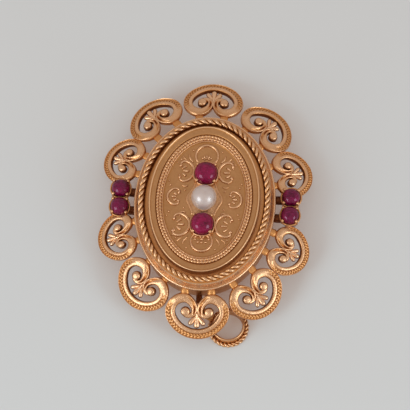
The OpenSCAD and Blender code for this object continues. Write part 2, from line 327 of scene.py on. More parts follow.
class Value:
    """One socket of a material. An expression on values adds the Math nodes that it needs."""

    def __init__(self, tree, socket):
        self.tree, self.socket = tree, socket

    def math(self, operation, *others):
        """A Math node of this value and the others, which are values or numbers."""
        node = self.tree.nodes.new("ShaderNodeMath")
        node.operation = operation
        for k, other in enumerate((self, *others)):
            if isinstance(other, Value):
                self.tree.links.new(other.socket, node.inputs[k])
            else:
                node.inputs[k].default_value = other
        return Value(self.tree, node.outputs[0])

    def __add__(self, other):
        return self.math("ADD", other)

    __radd__ = __add__

    def __mul__(self, other):
        return self.math("MULTIPLY", other)

    __rmul__ = __mul__

    def __sub__(self, other):
        return self.math("SUBTRACT", other)

    def __rsub__(self, other):
        return self.math("MULTIPLY", -1.0) + other

    def clamped(self):
        """This value held between 0 and 1."""
        return self.math("MAXIMUM", 0.0).math("MINIMUM", 1.0)


class Finish:
    """A material in the making: its node tree, its shader and the points of the piece."""

    def __init__(self, name, **constants):
        self.material = bpy.data.materials.new(name)
        self.material.use_nodes = True
        self.tree = self.material.node_tree
        self.shader = self.tree.nodes["Principled BSDF"]
        for socket, value in constants.items():
            self.shader.inputs[socket.replace("_", " ")].default_value = value
        self.place = self.node("ShaderNodeTexCoord", {}, {}, "Object")
        # Each point's painted light: above 0 painted shade with tarnish, below 0 a painted
        # highlight with wear
        self.painted_light_and_wear = self.node("ShaderNodeAttribute", {"attribute_name": "painted_light_and_wear"}, {}, "Fac")

    def node(self, kind, settings, values, output=0):
        """Any node: its settings first, then its sockets' values or links."""
        node = self.tree.nodes.new(kind)
        for name, value in settings.items():
            setattr(node, name, value)
        for name, value in values.items():
            if isinstance(value, Value):
                self.tree.links.new(value.socket, node.inputs[name])
            else:
                node.inputs[name].default_value = value
        return Value(self.tree, node.outputs[output])

    def noise(self, size, detail=3.0, rough=0.5, stretch=(1, 1, 1)):
        """Cloudy noise whose patches are about size millimetres wide."""
        place = self.node("ShaderNodeMapping", {}, {"Vector": self.place, "Scale": stretch})
        return self.node("ShaderNodeTexNoise", {}, {"Vector": place, "Scale": 1 / (size * MM),
                                                     "Detail": detail, "Roughness": rough})

    def blend(self, amount, first, second):
        """The first colour where amount is 0 and the second where it is 1. A Mix node's sockets
        for colours have the numbers 6 and 7, and 2 on its way out."""
        first, second = (value if isinstance(value, Value) else (*value, 1)
                         for value in (first, second))
        return self.node("ShaderNodeMix", {"data_type": "RGBA"},
                         {0: amount, 6: first, 7: second}, 2)

    def age(self, tint, patina_and_shade_amount, crest, reflected_shade, shade_and_patina):
        """Feeds Base Color a tint that turns to the crest colour, a painted highlight with rubbed
        wear, as the painted light goes to -1; to the colour for hollows, painted shade warmed as by
        gold reflected in gold, as it goes to 0.5; and to a dark brown of painted shade and tarnish
        by the amount given for that."""
        tint = self.blend((self.painted_light_and_wear * -1.0).clamped(), tint, crest)
        tint = self.blend((self.painted_light_and_wear * 2.0).clamped(), tint, reflected_shade)
        self.feed("Base Color", self.blend(patina_and_shade_amount.clamped(), tint, shade_and_patina))

    def feed(self, socket, value):
        """Leads a value to one of the shader's own sockets."""
        self.tree.links.new(value.socket, self.shader.inputs[socket])

    def raise_surface(self, height, depth):
        """Bump of a height between 0 and 1, depth millimetres deep."""
        bump = self.node("ShaderNodeBump", {}, {"Height": height, "Distance": depth * MM,
                                                "Strength": 1.0})
        self.feed("Normal", bump)
        return self.material


def polished_gold():
    """Rose gold with a worn polish: soft dents and fine scratches. Where the points carry painted
    shade it goes to a deep yellow brown, painted shade warmed as by gold reflected in gold, and
    then to a dark brown of painted shade and tarnish; where their value is below 0, on crests, it
    is paler, a painted highlight with rubbed wear. Faces that look down have a dull film, and
    the painted shade dulls the metal too, so both are matt."""
    gold = Finish("polished_rose_gold", Specular_IOR_Level=0.5)
    cloud = gold.noise(2.6)
    fine = gold.noise(0.4, 4.0, 0.6)
    scratch = gold.noise(0.12, 2.0, 0.5, (1, 6, 1))
    tint = gold.blend((cloud * 1.3 + fine - 0.65).clamped(), (0.55, 0.295, 0.13),
                      (0.76, 0.455, 0.25))
    # Crest colour: a painted highlight with wear; hollow colour: painted shade warmed by reflected
    # gold; tarnish colour: painted shade with tarnish
    gold.age(tint, gold.painted_light_and_wear * 2.0 - 1.0 + (fine - 0.5) * gold.painted_light_and_wear, crest=(0.86, 0.575, 0.36),
             reflected_shade=(0.60, 0.265, 0.07), shade_and_patina=(0.17, 0.045, 0.007))
    facing = gold.node("ShaderNodeNewGeometry", {}, {}, "Normal")
    upwards = gold.node("ShaderNodeSeparateXYZ", {}, {"Vector": facing}, "Z")
    film = (upwards * -2.0 - 0.4).clamped()
    gold.feed("Metallic", 1.0 - film * 0.5 - gold.painted_light_and_wear.clamped() * 0.45)
    gold.feed("Roughness", fine * 0.2 + 0.2 + gold.painted_light_and_wear * 0.08)
    return gold.raise_surface(cloud * 0.5 + fine * 0.35 + scratch * 0.15, 0.09)


def satin_gold():
    """Bloomed gold: the ground of the plaque, matt and finely grained."""
    gold = Finish("satin_gold", Specular_IOR_Level=0.5)
    # The metal is duller where the points carry painted shade
    gold.feed("Metallic", 1.0 - gold.painted_light_and_wear.clamped() * 0.5)
    cloud = gold.noise(2.2)
    grain = gold.noise(0.42, 4.0, 0.7)
    tint = gold.blend((cloud * 0.9 + grain * 1.5 - 0.7).clamped(), (0.46, 0.237, 0.097),
                      (0.60, 0.33, 0.149))
    # Crest colour: a painted highlight with wear; hollow colour: painted shade; tarnish colour:
    # painted shade with tarnish
    gold.age(tint, gold.painted_light_and_wear * 2.0 - 1.0, crest=(0.84, 0.54, 0.30), reflected_shade=(0.45, 0.2, 0.055),
             shade_and_patina=(0.15, 0.045, 0.008))
    gold.feed("Roughness", cloud * 0.1 + 0.33)
    return gold.raise_surface(grain, 0.03)


def ruby_red(name, redness):
    """A purple-red cabochon: silky clouds in a dark red body under a bright polish. Redness is
    the share of the full red in its colours: below 1 they lean to purple."""
    stone = Finish(name, Roughness=0.12, Specular_IOR_Level=0.46, Specular_Tint=(1.0, 0.7, 0.85, 1),
                   Subsurface_Weight=0.25, Subsurface_Radius=(1.0, 0.2, 0.4),
                   Subsurface_Scale=0.001)
    silk = stone.noise(1.3, 4.0, 0.55)
    vein = stone.noise(0.5, 4.0, 0.6, (1, 2.5, 1))
    dark, bright, pale = ((redness * red, green, blue) for red, green, blue in (
        (0.085, 0.0003, 0.012), (0.235, 0.002, 0.045), (0.37, 0.018, 0.11)))
    body = stone.blend((silk * 3.0 - 1.0).clamped(), dark, bright)
    stone.feed("Base Color", stone.blend((vein * 2.4 - 1.15).clamped(), body, pale))
    return stone.raise_surface(vein, 0.004)


def pearl_lustre():
    """Cream nacre: a soft sheen over a faintly mottled body."""
    nacre = Finish("pearl", Roughness=0.5, IOR=2.6, Coat_Weight=0.9, Coat_Roughness=0.18,
                   Coat_IOR=1.8, Subsurface_Weight=0.35, Subsurface_Radius=(1.0, 0.8, 0.6),
                   Subsurface_Scale=0.0011, Sheen_Weight=0.6, Sheen_Roughness=0.4,
                   Sheen_Tint=(1.0, 0.86, 0.74, 1))
    cloud = nacre.noise(1.6, 3.0)
    nacre.feed("Base Color", nacre.blend((cloud * 1.8 - 0.4).clamped(), (0.38, 0.295, 0.26),
                                         (0.48, 0.385, 0.34)))
    return nacre.raise_surface(cloud, 0.006)


GOLD = polished_gold()
SATIN = satin_gold()
RUBY = ruby_red("ruby", 1.0)
SIDE_RUBY = ruby_red("side_ruby", 0.75)
PEARL = pearl_lustre()

# Sections of a scroll's band. Columns: place across it from its outer edge, 1, to its inner
# edge, -1; height as a share of its crown; painted light, above 0 painted shade, darkest on the
# inner wall, below 0 a painted highlight on the ridges
ENGRAVED = [[1, -0.1, 0.5], [0.975, 0.16, 0], [0.93, 0.34, -0.5], [0.88, 0.37, -0.5],
            [0.83, 0.3, 0.1], [0.79, 0.14, 0.5], [0.73, 0.12, 0.35], [0.66, 0.2, 0.1],
            [0.4, 0.36, 0], [0.1, 0.42, 0.1], [0.02, 0.34, 0.8], [-0.04, 0.44, 0.5],
            [-0.12, 0.76, 0], [-0.24, 0.93, -0.1], [-0.42, 0.98, -0.3], [-0.64, 1, -0.3],
            [-0.78, 0.94, -0.2], [-0.86, 0.86, 0.1], [-0.92, 0.68, 0.9], [-1, 0, 1.2]]
DOMED = [[1, -0.1, 0.4], [0.985, 0.1, 0], [0.94, 0.34, 0], [0.85, 0.58, 0], [0.7, 0.78, 0],
         [0.5, 0.91, -0.1], [0.25, 0.98, -0.3], [0, 1, -0.3], [-0.25, 0.98, -0.3],
         [-0.5, 0.94, -0.1], [-0.68, 0.86, 0], [-0.8, 0.76, 0.2], [-0.9, 0.56, 0.8],
         [-0.96, 0.34, 1.1], [-1, -0.1, 1.2]]
GROOVED = [[1, -0.1, 0.4], [0.97, 0.34, 0], [0.9, 0.62, -0.3], [0.8, 0.7, -0.3], [0.68, 0.58, 0.1],
           [0.58, 0.28, 0.8], [0.5, 0.18, 1], [0.42, 0.24, 0.7], [0.3, 0.54, 0.1], [0.1, 0.82, 0],
           [-0.15, 0.98, -0.3], [-0.4, 1, -0.3], [-0.65, 0.92, 0], [-0.82, 0.74, 0.1],
           [-0.92, 0.45, 0.9], [-1, -0.1, 1.2]]
STEM = [[1, 0.92, 0], [0.8, 1, -0.3], [0.6, 0.98, -0.3], [0.42, 0.8, 0], [0.28, 0.36, 0.3],
        [0.18, 0.02, 1], [0.1, -0.06, 1], [0.02, 0.04, 0.8], [-0.1, 0.42, 0.2], [-0.3, 0.78, 0],
        [-0.5, 0.88, -0.3], [-0.7, 0.76, 0], [-0.86, 0.5, 0.7], [-1, -0.1, 1.2]]

# The back of a band, under its section. Columns: place across, height, painted shade
BACK = [[-1, -0.36, 1], [-0.93, -BAND_BELOW, 0.4], [0, -BAND_BELOW, 0], [0.93, -BAND_BELOW, 0],
        [1, -0.36, 0.4]]

# The rest of a band's middle line, from its round end to the drop that ends it
# Columns: across, outwards, half width, crown, share that is engraved, grooved and stem
CURL = [[2.1, -2.44, 0.85, 0.52, 0, 0.1, 0],
        [1.29, -1.96, 0.72, 0.5, 0, 0.8, 0.1],
        [0.62, -1.0, 0.62, 0.5, 0, 0.3, 0.7],
        [0.53, -0.25, 0.52, 0.5, 0, 0, 0.9],
        [0.8, 0.38, 0.46, 0.5, 0, 0, 0.2],
        [1.34, 0.64, 0.44, 0.5, 0, 0, 0],
        [1.92, 0.5, 0.5, 0.5, 0, 0, 0],
        [2.26, 0.12, 0.44, 0.46, 0, 0, 0],
        [2.3, -0.2, 0.3, 0.3, 0, 0, 0],
        [2.28, -0.44, 0.02, 0, 0, 0, 0]]

# The ball that ends a curl: place across and outwards, radius, height of its crown
BALL = (2.06, -0.06, 0.86, 0.66)

# The leaves in the opening of a scroll: lines of across, outwards, radius
LEAVES = [[[0, 0.0, 0.3], [0, 0.6, 0.3], [0, 1.2, 0.36], [0, 1.9, 0.5], [0, 2.4, 0.54],
           [0, 2.85, 0.38]],
          [[0.2, 0.7, 0.24], [0.52, 1.15, 0.32], [0.86, 1.6, 0.41], [1.12, 2.0, 0.42],
           [1.26, 2.35, 0.28]]]


def band_line():
    """Rows of the middle line of half a scroll, from the middle of the outer edge to the drop:
    an arc of the outer circle, up to 13 degrees from its end, an arc of the round end in steps
    of 24 degrees, and the rows of the curl."""
    crest = REACH - LOBE_R
    drop = (LOBE_ACROSS ** 2 - crest ** 2) / (2 * crest)
    outer_r = REACH + drop
    meet = math.degrees(math.atan2(drop, LOBE_ACROSS))
    rows = []
    for a in np.radians(np.linspace(90, meet + 13, 6)):
        r = outer_r - BAND_HALF
        rows.append([r * math.cos(a), r * math.sin(a) - drop, BAND_HALF, BAND_CROWN, 1, 0, 0])
    for k, engraved in enumerate((1, 1, 0.75, 0.1)):
        a = math.radians(meet - 24 * k)
        half = BAND_HALF - 0.02 * k
        r = LOBE_R - half
        rows.append([LOBE_ACROSS + r * math.cos(a), r * math.sin(a), half, BAND_CROWN,
                     engraved, 0, 0])
    return rows + CURL


def punched(along, across, half):
    """Depth of the strokes punched in the channel: two rows, half a step apart, each stroke
    exp(-(distance / its radius)^2), a little off its even place and leaning along the band."""
    depth = 0
    for row, (place, shift, lean) in enumerate(((0.2, 0.0, 0.7), (0.54, 0.5, -0.7))):
        step = along / STROKE_PITCH + shift
        nearest = np.round(step)
        off = 0.15 * np.sin(nearest * 12.9898 + row * 4.1)
        aside = (across - place) * half
        ahead = (step - nearest + off) * STROKE_PITCH + lean * aside
        depth = depth + np.exp(-(ahead ** 2 + (0.8 * aside) ** 2) / STROKE_R ** 2)
    return depth


def band_grid():
    """Both halves of a scroll as one band. At each point of the middle line the section is the
    mix of the engraved, grooved, stem and domed sections, less the punched strokes; below its
    edges the band goes straight down to a flat back. Gives the points, as across, outwards and
    height, and their painted light: the sections' painted shade and highlights, and painted
    shade in the strokes."""
    steps = 190
    half = smooth_line(band_line(), steps)
    line = np.concatenate([(half * [-1, 1, 1, 1, 1, 1, 1])[:0:-1], half])
    run = running(line[:, :2])
    along = run - run[steps - 1]
    heading = unit(np.gradient(line[:, :2], axis=0))
    side = np.stack([-heading[:, 1], heading[:, 0]], 1)
    across = np.sin(np.linspace(np.pi / 2, -np.pi / 2, 39))
    share = np.clip(line[:, 4:7], 0, 1)
    share = np.concatenate([share, np.clip(1 - share.sum(axis=1, keepdims=True), 0, 1)], 1)
    share /= share.sum(axis=1, keepdims=True)
    width = np.clip(line[:, 2], 0.01, None)
    height, deep = 0, 0
    for k, table in enumerate((ENGRAVED, GROOVED, STEM, DOMED)):
        rows = np.array(table)[::-1]
        height = height + share[:, k, None] * np.interp(across, rows[:, 0], rows[:, 1])
        deep = deep + share[:, k, None] * np.interp(across, rows[:, 0], rows[:, 2])
    strokes = punched(along[:, None], across[None], width[:, None]) * share[:, 0, None]
    height = height * np.clip(line[:, 3, None], 0, None) - 0.14 * strokes
    deep = deep + 1.1 * strokes
    back = np.array(BACK)
    across = np.concatenate([across, back[:, 0]])
    height = np.concatenate([height, np.tile(back[:, 1], (len(line), 1))], 1)
    deep = np.concatenate([deep, np.tile(back[:, 2], (len(line), 1))], 1)
    at = line[:, None, :2] + (width[:, None] * across[None])[..., None] * side[:, None]
    return np.concatenate([at, height[..., None]], -1), deep


def ball_grid(hand):
    """The ball at the end of a curl. At distance r from its middle, as a share of its radius,
    its height is crown * sqrt(1 - r^3.4), less a groove along the spiral whose r grows from
    0.3 to 0.9 in one turn."""
    across, out, radius, crown = BALL
    turn = np.linspace(0, 2 * np.pi, 36, endpoint=False)[None]
    r = np.concatenate([[0.9, 1, 1], np.sin(np.linspace(np.pi / 2, 0.02, 18))])[:, None]
    dome = np.sqrt(np.clip(1 - r ** 3.4, 0, 1))
    dome[:3, 0] = 0
    groove = np.exp(-((r - 0.3 - 0.6 * turn / (2 * np.pi)) / 0.09) ** 2) * np.sin(turn / 2)
    height = crown * dome - 0.04 * groove * dome
    height = height - np.array([BAND_BELOW, BAND_BELOW - 0.06] + [0] * (len(r) - 2))[:, None]
    grid = np.stack([hand * (across + radius * r * np.cos(turn + 2.4)),
                     out + radius * r * np.sin(turn + 2.4), height], -1)
    # Painted light of the ball: painted shade in its groove and towards its foot, a painted
    # highlight on its dome
    return grid, 0.2 * groove + 1.3 * (1 - dome) ** 3 - 0.4 * dome


def scroll_frame(row):
    """Where a scroll stands: its middle and its directions across, outwards and up."""
    turn = math.radians(row[1])
    out = math.atan2(math.sin(turn) / OVAL[1], math.cos(turn) / OVAL[0])
    c, s = math.cos(out), math.sin(out)
    middle = np.array([OVAL[0] * math.cos(turn) + row[2] * c,
                       OVAL[1] * math.sin(turn) + row[2] * s, BORDER_Z])
    across = np.array([s, -c, 0])
    outwards = np.array([c * math.cos(SLOPE), s * math.cos(SLOPE), -math.sin(SLOPE)])
    return middle, across, outwards, np.cross(across, outwards)


def scroll_border():
    """Ten scrolls, each one band with the balls of its curls, its leaves and its solder tabs. A
    point is the middle plus size times across, size times outwards and its height."""
    band, deep = band_grid()
    for row in SCROLLS:
        middle, across, outwards, up = scroll_frame(row)
        size = np.array([row[3], row[4], 1.0])
        axes = np.stack([across, outwards, up])

        def placed(grid, scaled=True):
            return middle + (grid * (size if scaled else 1.0)) @ axes

        work = Work().add(placed(band), deep=deep)
        for hand in (1, -1):
            # depth here is the ball's painted shade and highlight
            ball, depth = ball_grid(hand)
            work.add(placed(ball), deep=depth)
        for k, leaf in enumerate(LEAVES):
            fine = smooth_line(leaf, 24)
            for side in ([1] if k == 0 else [1, -1]):
                line = np.stack([side * fine[:, 0], fine[:, 1], 0 * fine[:, 0] + 0.02], 1)
                grid = wire(line, fine[:, 2], 12, steps=22, flat=0.9)
                work.add(placed(grid), deep=shade(grid[..., 2], 0.1, -0.6))
        for side in (1, -1):
            u = side * LOBE_ACROSS * row[3]
            end = -(row[2] + 0.6) / math.cos(SLOPE)
            line = [[u, -2.7, -0.25], [u, -3.4, -0.3], [u, end, -0.36]]
            tab = wire(line, [0.7, 0.74, 0.66], 12, flat=0.5)
            work.add(placed(tab, False), deep=0.4)
        work.make("scroll_" + row[0], GOLD, "gold", "frame")


# The oval box. Columns: distance in from the flange, height, painted light: painted shade under the
# flange and in the trench by the plaque, painted highlights on the flange's edge and the wall under
# the rope
BOX = [[1.3, 5.4, 0], [1.3, 2.56, 0], [1.2, 2.43, 0], [1.05, 2.4, 0], [0.58, 2.4, 0],
       [0.44, 2.46, 0], [0.4, 2.6, 0.2], [0.4, 4.3, 0.45], [0.4, 6.0, 0.6], [0.34, 6.24, 0.6],
       [0.16, 6.42, 0.4], [0.04, 6.55, 0.1], [0, 6.7, 0], [0.02, 6.83, -0.5], [0.09, 6.93, -0.8],
       [0.2, 6.98, -0.5], [0.28, 6.96, 0.1], [0.32, 6.96, 0.4], [0.36, 7.02, 0.1],
       [0.44, 7.2, -0.4], [0.52, 7.44, -0.8], [0.6, 7.74, -0.9], [0.68, 8.02, -0.9],
       [0.75, 8.22, -0.8], [0.8, 8.3, -0.2], [0.85, 8.3, 0.3], [0.95, 8.34, 0.5],
       [1.35, 8.36, 0.6], [1.7, 8.34, 1], [1.78, 8.25, 1.2], [1.8, 8.1, 1.2], [1.82, 7.9, 1.2],
       [1.92, 7.74, 1.1], [2.05, 7.7, 0.8], [2.25, 7.7, 0.3], [2.9, 7.7, 0.1]]


def oval_box():
    """The wall, flange and floor: the box's profile carried round the oval, and the rope on it."""
    rows = np.array(BOX)
    profile = np.stack([OVAL[0] - rows[:, 0], OVAL[1] - rows[:, 0], rows[:, 1]], 1)
    box = Work().add(oval_loft(profile), deep=rows[:, 2, None])
    box.make("oval_box", GOLD, "gold", "frame")
    points, out = even_oval(OVAL[0] - ROPE_IN[0], OVAL[1] - ROPE_IN[1], ROPE_TURNS * 22)
    rim = Work()
    strands, deep = rope(points + ROPE_Z * UP, out, ROPE_R, ROPE_TURNS)
    for strand in strands:
        rim.add(strand, closed=True, deep=deep)
    rim.make("rope_rim", GOLD, "gold", "frame")


def claws(work, centre, radius, seat, size):
    """The four claws of a setting, at its corners: wires from the side of the cup up to a round
    grain over the stone. Columns: distance from the axis, height over the seat, share of size."""
    reach = radius + size
    rise = np.array([[radius * 0.98, -1.1, 0.7], [radius + 0.22, -0.3, 0.8],
                     [reach + 0.08, 0.3, 0.9], [reach, 0.75, 1.0], [reach - 0.1, 1.05, 1.25],
                     [reach - 0.16, 1.34, 1.3]])
    for corner in (45, 135, 225, 315):
        turn = math.radians(corner)
        away = np.array([math.cos(turn), math.sin(turn), 0])
        line = np.asarray(centre) + rise[:, :1] * away + (seat + rise[:, 1:2]) * UP
        work.add(wire(line, size * rise[:, 2], 12, up=np.cross(away, UP), steps=14))


def cup(radius, foot, seat):
    """Profile of a stone's cup: up from its foot, over a rounded rim, and in to its seat."""
    return [[0.0, foot], [0.7 * radius, foot], [0.8 * radius, foot + 0.06],
            [0.87 * radius, foot + 0.25], [radius + 0.1, seat - 0.3],
            [radius + 0.28, seat + 0.05], [radius + 0.35, seat + 0.22],
            [radius + 0.34, seat + 0.34], [radius + 0.27, seat + 0.41],
            [radius + 0.14, seat + 0.42], [radius + 0.05, seat + 0.36], [radius + 0.03, seat],
            [0.0, seat]]


# Painted shade at each row of a side cup's profile, darkest at its foot and its seat
SIDE_CUP_SHADE = [1, 1, 1, 0.9, 0.8, 0.6, 0.5, 0.3, 0.2, 0.3, 0.6, 1, 1]


def side_settings():
    """The two pairs of cups beside the oval, each cup with four claws and a bar to the box."""
    for side, name in ((1, "right"), (-1, "left")):
        work = Work()
        for y in SIDE_Y.values():
            centre = (side * SIDE_X, y, 0)
            grid = spun(cup(SIDE_R, 2.6, SIDE_SEAT_Z), 48, centre, SIDE_SQUARE)
            work.add(grid, deep=np.array(SIDE_CUP_SHADE)[:, None])
            claws(work, centre, SIDE_R, SIDE_SEAT_Z, 0.25)
            # Each bar is dark all over with painted shade
            bar = [[side * (SIDE_X - 1), y, 3.7], [side * (OVAL[0] - 0.8), y, 3.7]]
            work.add(wire(bar, 0.8, 14), deep=1.0)
        work.make("side_settings_" + name, GOLD, "gold", "frame")


def eye(radius, count, centre):
    """A flat eye for the rivet: its section, rounded at its outer edges, spun to a closed ring."""
    half = EYE_THICK / 2
    section = [[0.56, -half], [radius - 0.1, -half], [radius - 0.02, -half + 0.08], [radius, 0],
               [radius - 0.02, half - 0.08], [radius - 0.1, half], [0.56, half], [0.55, 0]]
    return np.swapaxes(spun(section, count, centre), 0, 1)


def bail_tongue():
    """The tongue that carries the bail's rivet: a flat bar from the box to a round eye."""
    middle = TONGUE_Z + EYE_THICK / 2
    line = [[0, -OVAL[1] + 0.9, middle], [0, -RIVET_REACH + 0.55, middle]]
    # The tongue and its eye are dark all over with painted shade
    work = Work().add(wire(line, 0.55, 16, flat=0.7), deep=1.0)
    work.add(eye(1.1, 48, (0, -RIVET_REACH, middle)), closed=True, deep=1.0)
    work.make("bail_tongue", GOLD, "gold", "frame")


# The plaque. Columns: half width, half height, height, painted light: painted shade under it and in
# its sunk border, a painted highlight along its rim
PLATE = [[9.1, 12.84, 7.9, 0.8], [9.1, 12.84, 6.3, 0.6], [10, 13.74, 6.3, 0],
         [10, 13.74, 6.6, 0.2], [9.98, 13.73, 7.9, 0.2], [9.95, 13.72, 8.6, -0.2],
         [9.93, 13.71, 9.2, -0.4], [9.91, 13.7, 9.38, -1], [9.86, 13.67, 9.47, -1],
         [9.78, 13.61, 9.5, -1], [9.69, 13.53, 9.49, -1], [9.62, 13.47, 9.42, -0.7],
         [9.58, 13.43, 9.33, 0.3], [9.52, 13.37, 9.29, 0.5], [9.44, 13.28, 9.28, 0.1],
         [9.25, 13.0, 9.27, 0], [8.95, 12.6, 9.25, 0], [8.78, 12.4, 9.22, 0.1],
         [8.7, 12.29, 9.14, 0.5], [8.64, 12.2, 9.02, 0.8], [7.5, 11.04, 8.98, 0.8],
         [7.34, 10.87, 8.9, 0.5], [7.2, 10.72, 8.83, 0.3], [7.04, 10.52, 8.8, 0.1],
         [4.5, 6.8, 8.8, 0], [2.0, 3.0, 8.8, 0]]

# The wires of the plaque's border: two twisted ones, each with its half width, half height,
# number of lumps and slant, and a plain one inside them with its half width and half height
BORDER_WIRES = [(8.35, 11.88, 108, 1), (7.88, 11.4, 102, -1)]
BORDER_WIRE_Z = 9.12
BORDER_WIRE_R = 0.27
PLAIN_WIRE = (7.5, 11.03)
PLAIN_WIRE_Z = 9.08
PLAIN_WIRE_R = 0.15

# C scrolls on the plaque. Columns: across, up, radius, direction of the open side,
# degrees of its back and ends, tightness of its curled ends, radius of the wire
PLAQUE_SCROLLS = [[-0.15, 8.3, 2.0, 270, 320, 1.6, 0.24],
                  [0.1, -7.75, 1.9, 90, 300, 1.4, 0.22],
                  [-0.62, -7.3, 0.58, 270, 230, 1.2, 0.17],
                  [0.78, -7.3, 0.58, 270, 230, 1.2, 0.17],
                  [4.12, 5.3, 1.9, 0, 470, 5.0, 0.25],
                  [-4.12, 5.3, 1.9, 180, 470, 5.0, 0.25],
                  [5.1, 0.35, 1.52, 180, 470, 4.6, 0.23],
                  [-5.1, 0.35, 1.52, 0, 470, 4.6, 0.23],
                  [4.35, -4.8, 2.05, 0, 440, 4.0, 0.27],
                  [-4.35, -4.8, 2.05, 180, 440, 4.0, 0.27]]

# Strokes of one quarter of the plaque, as lines of across, up and radius
STROKES = [[[2.45, 7.0, 0.12], [2.8, 7.4, 0.16], [3.2, 7.95, 0.16], [3.25, 8.5, 0.1]],
           [[3.5, 7.3, 0.1], [4.0, 7.6, 0.15], [4.4, 8.1, 0.12]],
           [[3.1, 2.6, 0.12], [3.6, 2.4, 0.17], [4.2, 2.65, 0.12]]]

# Grains of one quarter of the plaque: across, up, radius
GRAINS = [[6.2, 2.5, 0.2], [6.5, 3.3, 0.16], [2.6, 9.2, 0.18], [4.6, 7.4, 0.18],
          [5.2, 6.9, 0.16], [3.55, 1.7, 0.17], [4.1, 3.25, 0.15]]

# A C scroll's wire swells over its back: its radius at even steps, as shares of the full one
C_STEPS = 97
BACK_SWELL = 0.6 + 0.5 * np.sin(np.linspace(0, np.pi, C_STEPS))

# Petals inside a C scroll: degrees off the direction of its back, distances of both ends from
# the root as shares of its radius, and radii at both ends
PETALS = [[0, 0.35, 0.98, 0.16, 0.3], [36, 0.35, 0.88, 0.15, 0.27], [-36, 0.35, 0.88, 0.15, 0.27],
          [78, 0.35, 0.68, 0.15, 0.24], [-78, 0.35, 0.68, 0.15, 0.24]]

# Outline of the polished boss under the pearl, right side from top to bottom: across, up
BOSS = [[1.95, 3.3], [2.1, 2.7], [2.35, 2.1], [2.85, 1.3], [3.3, 0.5], [3.35, 0.1], [3.05, -0.7],
        [2.6, -1.6], [2.3, -2.3], [2.15, -2.9]]

# The boss from its foot to its top: share of its outline, height over the ground
BOSS_RISE = [[1.0, -0.3], [1.0, 0.04], [0.98, 0.12], [0.95, 0.17], [0.92, 0.17], [0.89, 0.14],
             [0.85, 0.1], [0.8, 0.09], [0.6, 0.14], [0.2, 0.2]]


def c_scroll(x, y, radius, opens, sweep, tight):
    """The middle line of a C scroll. Its heading is the running sum of a curvature that is
    1 / radius over the back and grows to tight / radius at both ends."""
    u = np.linspace(-1, 1, C_STEPS)
    middle = C_STEPS // 2
    curvature = (1 + (tight - 1) * np.clip((np.abs(u) - 0.5) / 0.5, 0, 1) ** 1.5) / radius
    step = math.radians(sweep) / curvature.sum()
    heading = np.cumsum(curvature) * step
    heading -= heading[middle]
    line = np.stack([np.cumsum(np.cos(heading)), np.cumsum(np.sin(heading))], 1) * step
    line = line - line[middle] + [0, -radius]
    turn = math.radians(opens - 90)
    c, s = math.cos(turn), math.sin(turn)
    return np.stack([x + c * line[:, 0] - s * line[:, 1], y + s * line[:, 0] + c * line[:, 1],
                     np.full(C_STEPS, GROUND_Z + 0.08)], 1)


def quarters(row):
    """The four mirror images of a line or point whose first two columns are across and up."""
    rows = np.atleast_2d(np.array(row, float))
    return [rows * ([sx, sy] + [1] * (rows.shape[1] - 2)) for sx in (1, -1) for sy in (1, -1)]


